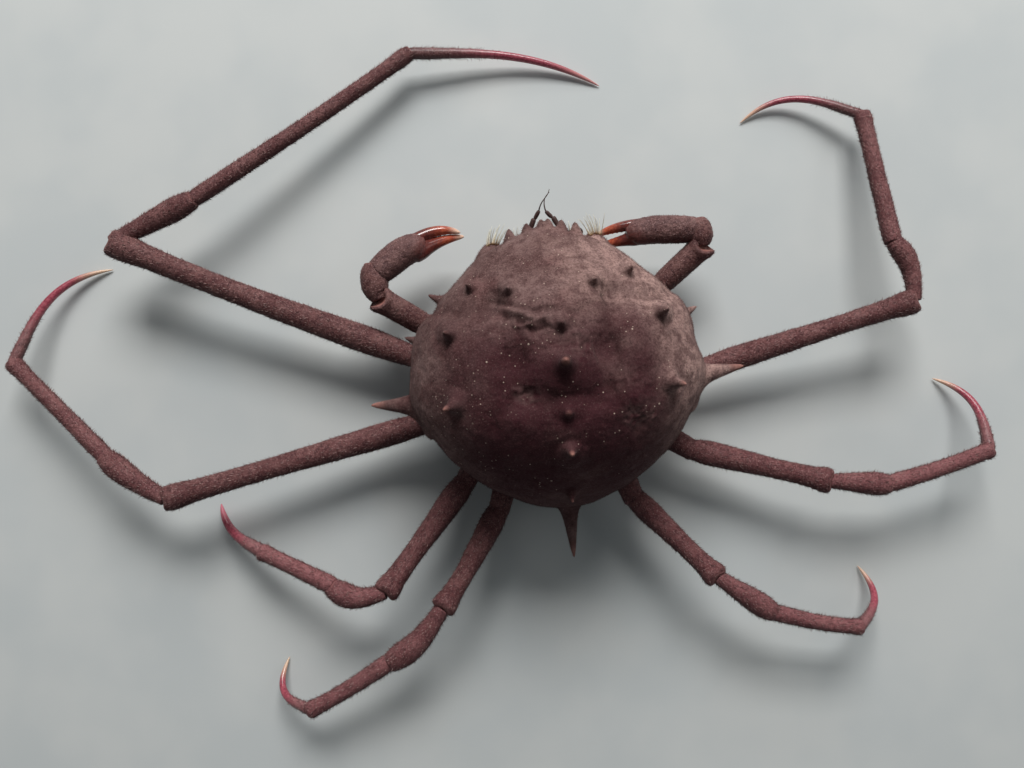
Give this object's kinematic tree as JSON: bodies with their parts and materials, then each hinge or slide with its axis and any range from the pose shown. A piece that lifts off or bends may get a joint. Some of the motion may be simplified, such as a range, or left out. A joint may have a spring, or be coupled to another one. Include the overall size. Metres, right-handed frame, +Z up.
{
  "type": "spider crab model",
  "caption": "Life-size still model of a spiny spider crab lying on its belly, with a globose spined carapace, slender bent walking legs and small claws.",
  "frame": {"origin": "the floor under the belly, at the widest part of the carapace on the midline", "axes": "+X towards the animal's left, -Y towards its head, +Z up"},
  "size_m": [0.1661, 0.1134, 0.0357],
  "materials": {
    "carapace": "velvety mauve-brown shell with a short dense felt of hair",
    "underside": "thinly haired pale brown shell",
    "leg": "finely haired brown-purple shell with reddish ends",
    "dactyl": "smooth crimson shell fading to a cream tip",
    "finger": "polished orange-red shell with a pale tip",
    "eye": "dark glossy cornea"
  },
  "bodies": {
    "root": {"carapace": "carapace", "thorax": "underside", "abdomen": "underside", "maxilliped_left": "underside", "maxilliped_right": "underside", "eye_left": "eye", "eye_right": "eye", "antenna_left": "leg", "antenna_right": "leg", "claw_left_base": "leg", "claw_left_merus": "leg", "claw_left_carpus": "leg", "claw_left_palm": "leg", "claw_left_finger": "finger", "claw_right_base": "leg", "claw_right_merus": "leg", "claw_right_carpus": "leg", "claw_right_palm": "leg", "claw_right_finger": "finger", "leg_left_1_base": "leg", "leg_left_1_merus": "leg", "leg_left_1_carpus": "leg", "leg_left_1_propodus": "leg", "leg_left_1_dactyl": "dactyl", "leg_left_2_base": "leg", "leg_left_2_merus": "leg", "leg_left_2_carpus": "leg", "leg_left_2_propodus": "leg", "leg_left_2_dactyl": "dactyl", "leg_left_3_base": "leg", "leg_left_3_merus": "leg", "leg_left_3_carpus": "leg", "leg_left_3_propodus": "leg", "leg_left_3_dactyl": "dactyl", "leg_left_4_base": "leg", "leg_left_4_merus": "leg", "leg_left_4_carpus": "leg", "leg_left_4_propodus": "leg", "leg_left_4_dactyl": "dactyl", "leg_right_1_stump": "leg", "leg_right_2_base": "leg", "leg_right_2_merus": "leg", "leg_right_2_carpus": "leg", "leg_right_2_propodus": "leg", "leg_right_2_dactyl": "dactyl", "leg_right_3_base": "leg", "leg_right_3_merus": "leg", "leg_right_3_carpus": "leg", "leg_right_3_propodus": "leg", "leg_right_3_dactyl": "dactyl", "leg_right_4_base": "leg", "leg_right_4_merus": "leg", "leg_right_4_carpus": "leg", "leg_right_4_propodus": "leg", "leg_right_4_dactyl": "dactyl"}
  },
  "joints": []
}
